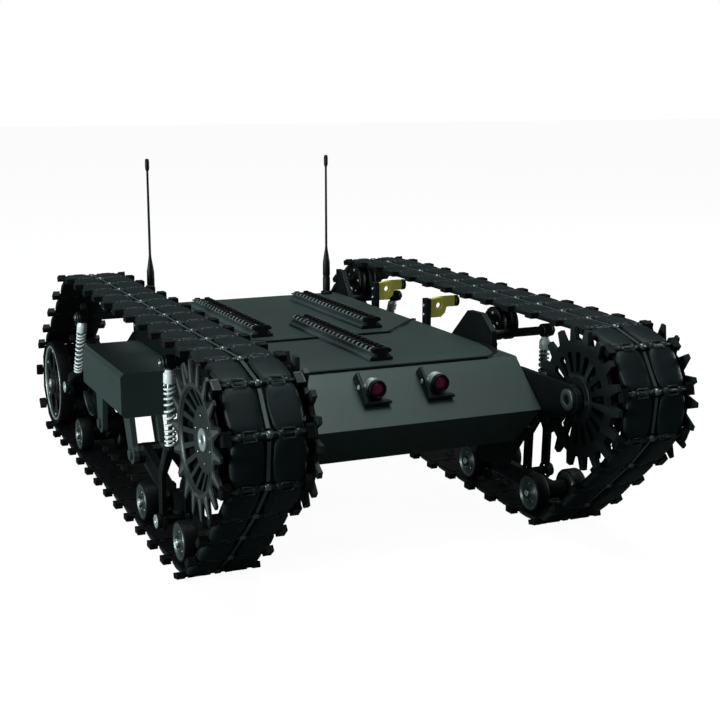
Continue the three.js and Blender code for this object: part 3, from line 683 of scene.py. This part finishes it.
# ---- Fixed plates, arms and their fasteners ---------------------------------------------------------------
for name, side in SIDES:
    keep(f"side_frame_{name}", BLACK, 0.5)
    keep(f"side_pod_{name}", HULL, 0.7)
    keep(f"front_arm_{name}", BLACK, 0.5)
    keep(f"rear_arm_{name}", BLACK, 0.5)
    keep(f"drive_motor_{name}", BRIGHT, 0.5)
    for key in ("front", "rear"):
        keep(f"strut_fork_{key}_{name}", BLACK, 0.5)
        keep(f"guide_arm_{key}_{name}", YELLOW, 0.4)

    screws = Build()
    on_plate = lambda u, v: (lambda a, b, w, u=u, v=v: (side * w, u + a, v + b))
    for y, z in ((-172, 188), (-160, 193), (-136, 168), (-112, 176), (-178, 172), (-198, 62), (-168, 62),
                 (-240, 110), (186, 178), (206, 196), (212, 176), (196, 150), (-205, 150), (-205, 112)):
        bolt(screws, on_plate(y, z), 2.6, 135.2, 137.6, BRIGHT)
    for y in GUIDE_Y:
        for z in (180.5, 190.5):
            face = 129.4
            bolt(screws, on_plate(y, z), 1.5, face + 0.2, face - 1.3, BRIGHT)
    screws.piece(f"frame_screws_{name}", "hull")

    for key, y in zip(("front", "rear"), GUIDE_Y):
        at = on_axle((y, 193.3), side)
        tyre = Build()
        tyre.lathe([(2.4, 166.2), (5.4, 166.2), (6.2, 167), (6.2, 169.8), (5.4, 170.6), (2.4, 170.6)],
                   at, PLASTIC, 32)
        tyre.piece(f"guide_tyre_{key}_{name}", f"guide_roller_{key}_{name}",
                   [f"guide_roller_{key}_{name}"])


# ---- Struts ------------------------------------------------------------------------------------------------
for name, side in SIDES:
    for key, strut in STRUTS.items():
        (ty, tz), (fy, fz) = strut["top"], strut["foot"]
        down = Vector((fy - ty, fz - tz)).normalized()
        across = Vector((-down.y, down.x))

        def along(u, v, w, down=down, across=across, ty=ty, tz=tz):  # w is the distance down from the top pin
            p = Vector((ty, tz)) + down * w + across * v
            return (side * (STRUT_X + u), p.x, p.y)

        tube = Build()
        # The cap is bored, because the fork's rod slides up into it.
        # The cap's near-white colour paints in the chrome's reflection.
        tube.lathe([(0.01, 7), (3.6, 7), (4.6, 9.6), (5.8, 11), (5.8, 19.4), (5.4, 20), (2.5, 20),
                    (2.5, 12.5), (0.01, 12.5)], along, CHROME_PAINTED_REFLECTION, 36)
        end = strut["tube_end"]
        tube.lathe([(2.5, 19), (3.2, 19), (3.2, end), (2.5, end)], along, STEEL, 28)
        eye_place = lambda u, v, w: along(w, u, v)
        tube.lathe([(3.0, -5), (6.4, -5), (7, -4.2), (7, 4.2), (6.4, 5), (3.0, 5)], eye_place, BLACK, 32)
        pin_start = AXLE_START - STRUT_X
        tube.lathe([(0.01, pin_start), (4.5, pin_start), (4.5, 8.4), (0.01, 8.4)], eye_place, BLACK, 24)
        tube.piece(f"strut_cap_{key}_{name}", f"strut_tube_{key}_{name}",
                   [f"strut_tube_{key}_{name}"], bevel=0.3)

        coil = Build()
        top, bottom = 21.6, strut["seat"] - 1.6
        turns = 11.0
        steps = int(turns * 28)
        wire = []
        for i in range(steps + 1):
            a = FULL * turns * i / steps
            # the first and last turn lie nearly flat against their seats
            share = i / steps
            ease = share + 0.045 * math.sin(FULL * share)
            wire.append((4.65 * math.cos(a), 4.65 * math.sin(a), top + (bottom - top) * (2 * share - ease)))
        # The coil's near-white colour paints in the chrome's reflection.
        coil.sweep(wire, 1.15, CHROME_PAINTED_REFLECTION, 8, False, along)
        spring = coil.piece(f"spring_coil_{key}_{name}", f"strut_tube_{key}_{name}",
                            [f"spring_{key}_{name}"])
        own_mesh(spring)

        foot = Build()
        at = on_axle(strut["foot"], side)
        bolt(foot, at, 6.6, 213.9, 215.6, BRIGHT)
        foot.piece(f"strut_bolt_{key}_{name}", f"{key}_arm_{name}")
        head = Build()
        at = on_axle(strut["top"], side)
        bolt(head, at, 6.4, 204.8, 207.4, BLACK, False)
        bolt(head, at, 3.8, 207.2, 209.2, STEEL)
        head.piece(f"strut_head_{key}_{name}", f"strut_tube_{key}_{name}")


# ---- Camera, floor and light ---------------------------------------------------------------
YAW, RISE = math.radians(-23.958), math.radians(11.59)
back = Vector((math.sin(YAW) * math.cos(RISE), -math.cos(YAW) * math.cos(RISE), math.sin(RISE)))
camera_data = bpy.data.cameras.new("camera")
camera_data.lens = 66.33
camera_data.sensor_width = 36.0
camera_data.dof.use_dof = False
camera_data.clip_start, camera_data.clip_end = 0.05, 60.0
camera = bpy.data.objects.new("camera", camera_data)
camera.location = Vector((-520.834, -1321.046, 424.679)) * MM
camera.rotation_mode = "QUATERNION"
camera.rotation_quaternion = (-back).to_track_quat("-Z", "Y")
bpy.context.scene.collection.objects.link(camera)
bpy.context.scene.camera = camera

floor_mesh = bpy.data.meshes.new("floor")
floor_mesh.from_pydata([(-14, -14, 0), (14, -14, 0), (14, 14, 0), (-14, 14, 0)], [], [(0, 1, 2, 3)])
floor = bpy.data.objects.new("floor", floor_mesh)
floor.location.z = -0.0004
paper = bpy.data.materials.new("paper")
paper.use_nodes = True
tree = paper.node_tree
tree.nodes.clear()


def shade(kind, colour, **inputs):
    node = tree.nodes.new(kind)
    node.inputs["Color"].default_value = (*colour, 1)
    for key, value in inputs.items():
        node.inputs[key].default_value = value
    return node.outputs[0]


def blend(factor, first, second):
    node = tree.nodes.new("ShaderNodeMixShader")
    if isinstance(factor, float):
        node.inputs[0].default_value = factor
    else:
        tree.links.new(factor, node.inputs[0])
    tree.links.new(first, node.inputs[1])
    tree.links.new(second, node.inputs[2])
    return node.outputs[0]


# White paper that hardly lights the underside: it looks pale, and throws back little light.
pale = blend(0.86, shade("ShaderNodeBsdfDiffuse", (0.9, 0.9, 0.9)),
             shade("ShaderNodeEmission", (1, 1, 1), Strength=1.11))
dull = shade("ShaderNodeBsdfDiffuse", (0.10, 0.11, 0.11))
seen = tree.nodes.new("ShaderNodeLightPath").outputs["Is Camera Ray"]
surface = tree.nodes.new("ShaderNodeOutputMaterial").inputs["Surface"]
tree.links.new(blend(seen, dull, pale), surface)
floor_mesh.materials.append(paper)
bpy.context.scene.collection.objects.link(floor)

world = bpy.data.worlds.new("studio")
world.use_nodes = True
tree = world.node_tree
tree.nodes.clear()
seen = tree.nodes.new("ShaderNodeLightPath").outputs["Is Camera Ray"]
room = shade("ShaderNodeBackground", (0.93, 1.0, 1.0), Strength=0.08)
sky = shade("ShaderNodeBackground", (1, 1, 1), Strength=1.0)
tree.links.new(blend(seen, room, sky), tree.nodes.new("ShaderNodeOutputWorld").inputs["Surface"])
bpy.context.scene.world = world


def softbox(name, at, aim, size, watts):
    data = bpy.data.lights.new(name, "AREA")
    data.shape = "RECTANGLE"
    data.size, data.size_y = size
    data.energy = watts
    data.color = (0.88, 1.0, 0.98)
    lamp = bpy.data.objects.new(name, data)
    lamp.location = at
    lamp.rotation_mode = "QUATERNION"
    lamp.rotation_quaternion = (Vector(aim) - Vector(at)).to_track_quat("-Z", "Y")
    bpy.context.scene.collection.objects.link(lamp)


softbox("top", (0.1, -0.05, 2.5), (0, 0, 0.1), (1.8, 1.6), 42)
softbox("left", (-3.0, -0.5, 0.6), (0, 0, 0.12), (1.2, 0.8), 85)
softbox("front", (0.4, -2.6, 2.6), (0, -0.2, 0.1), (1.4, 1.0), 6)
softbox("right", (3.0, 0.2, 0.5), (0, 0.1, 0.12), (1.2, 0.8), 30)
bpy.context.scene.view_settings.view_transform = "Standard"
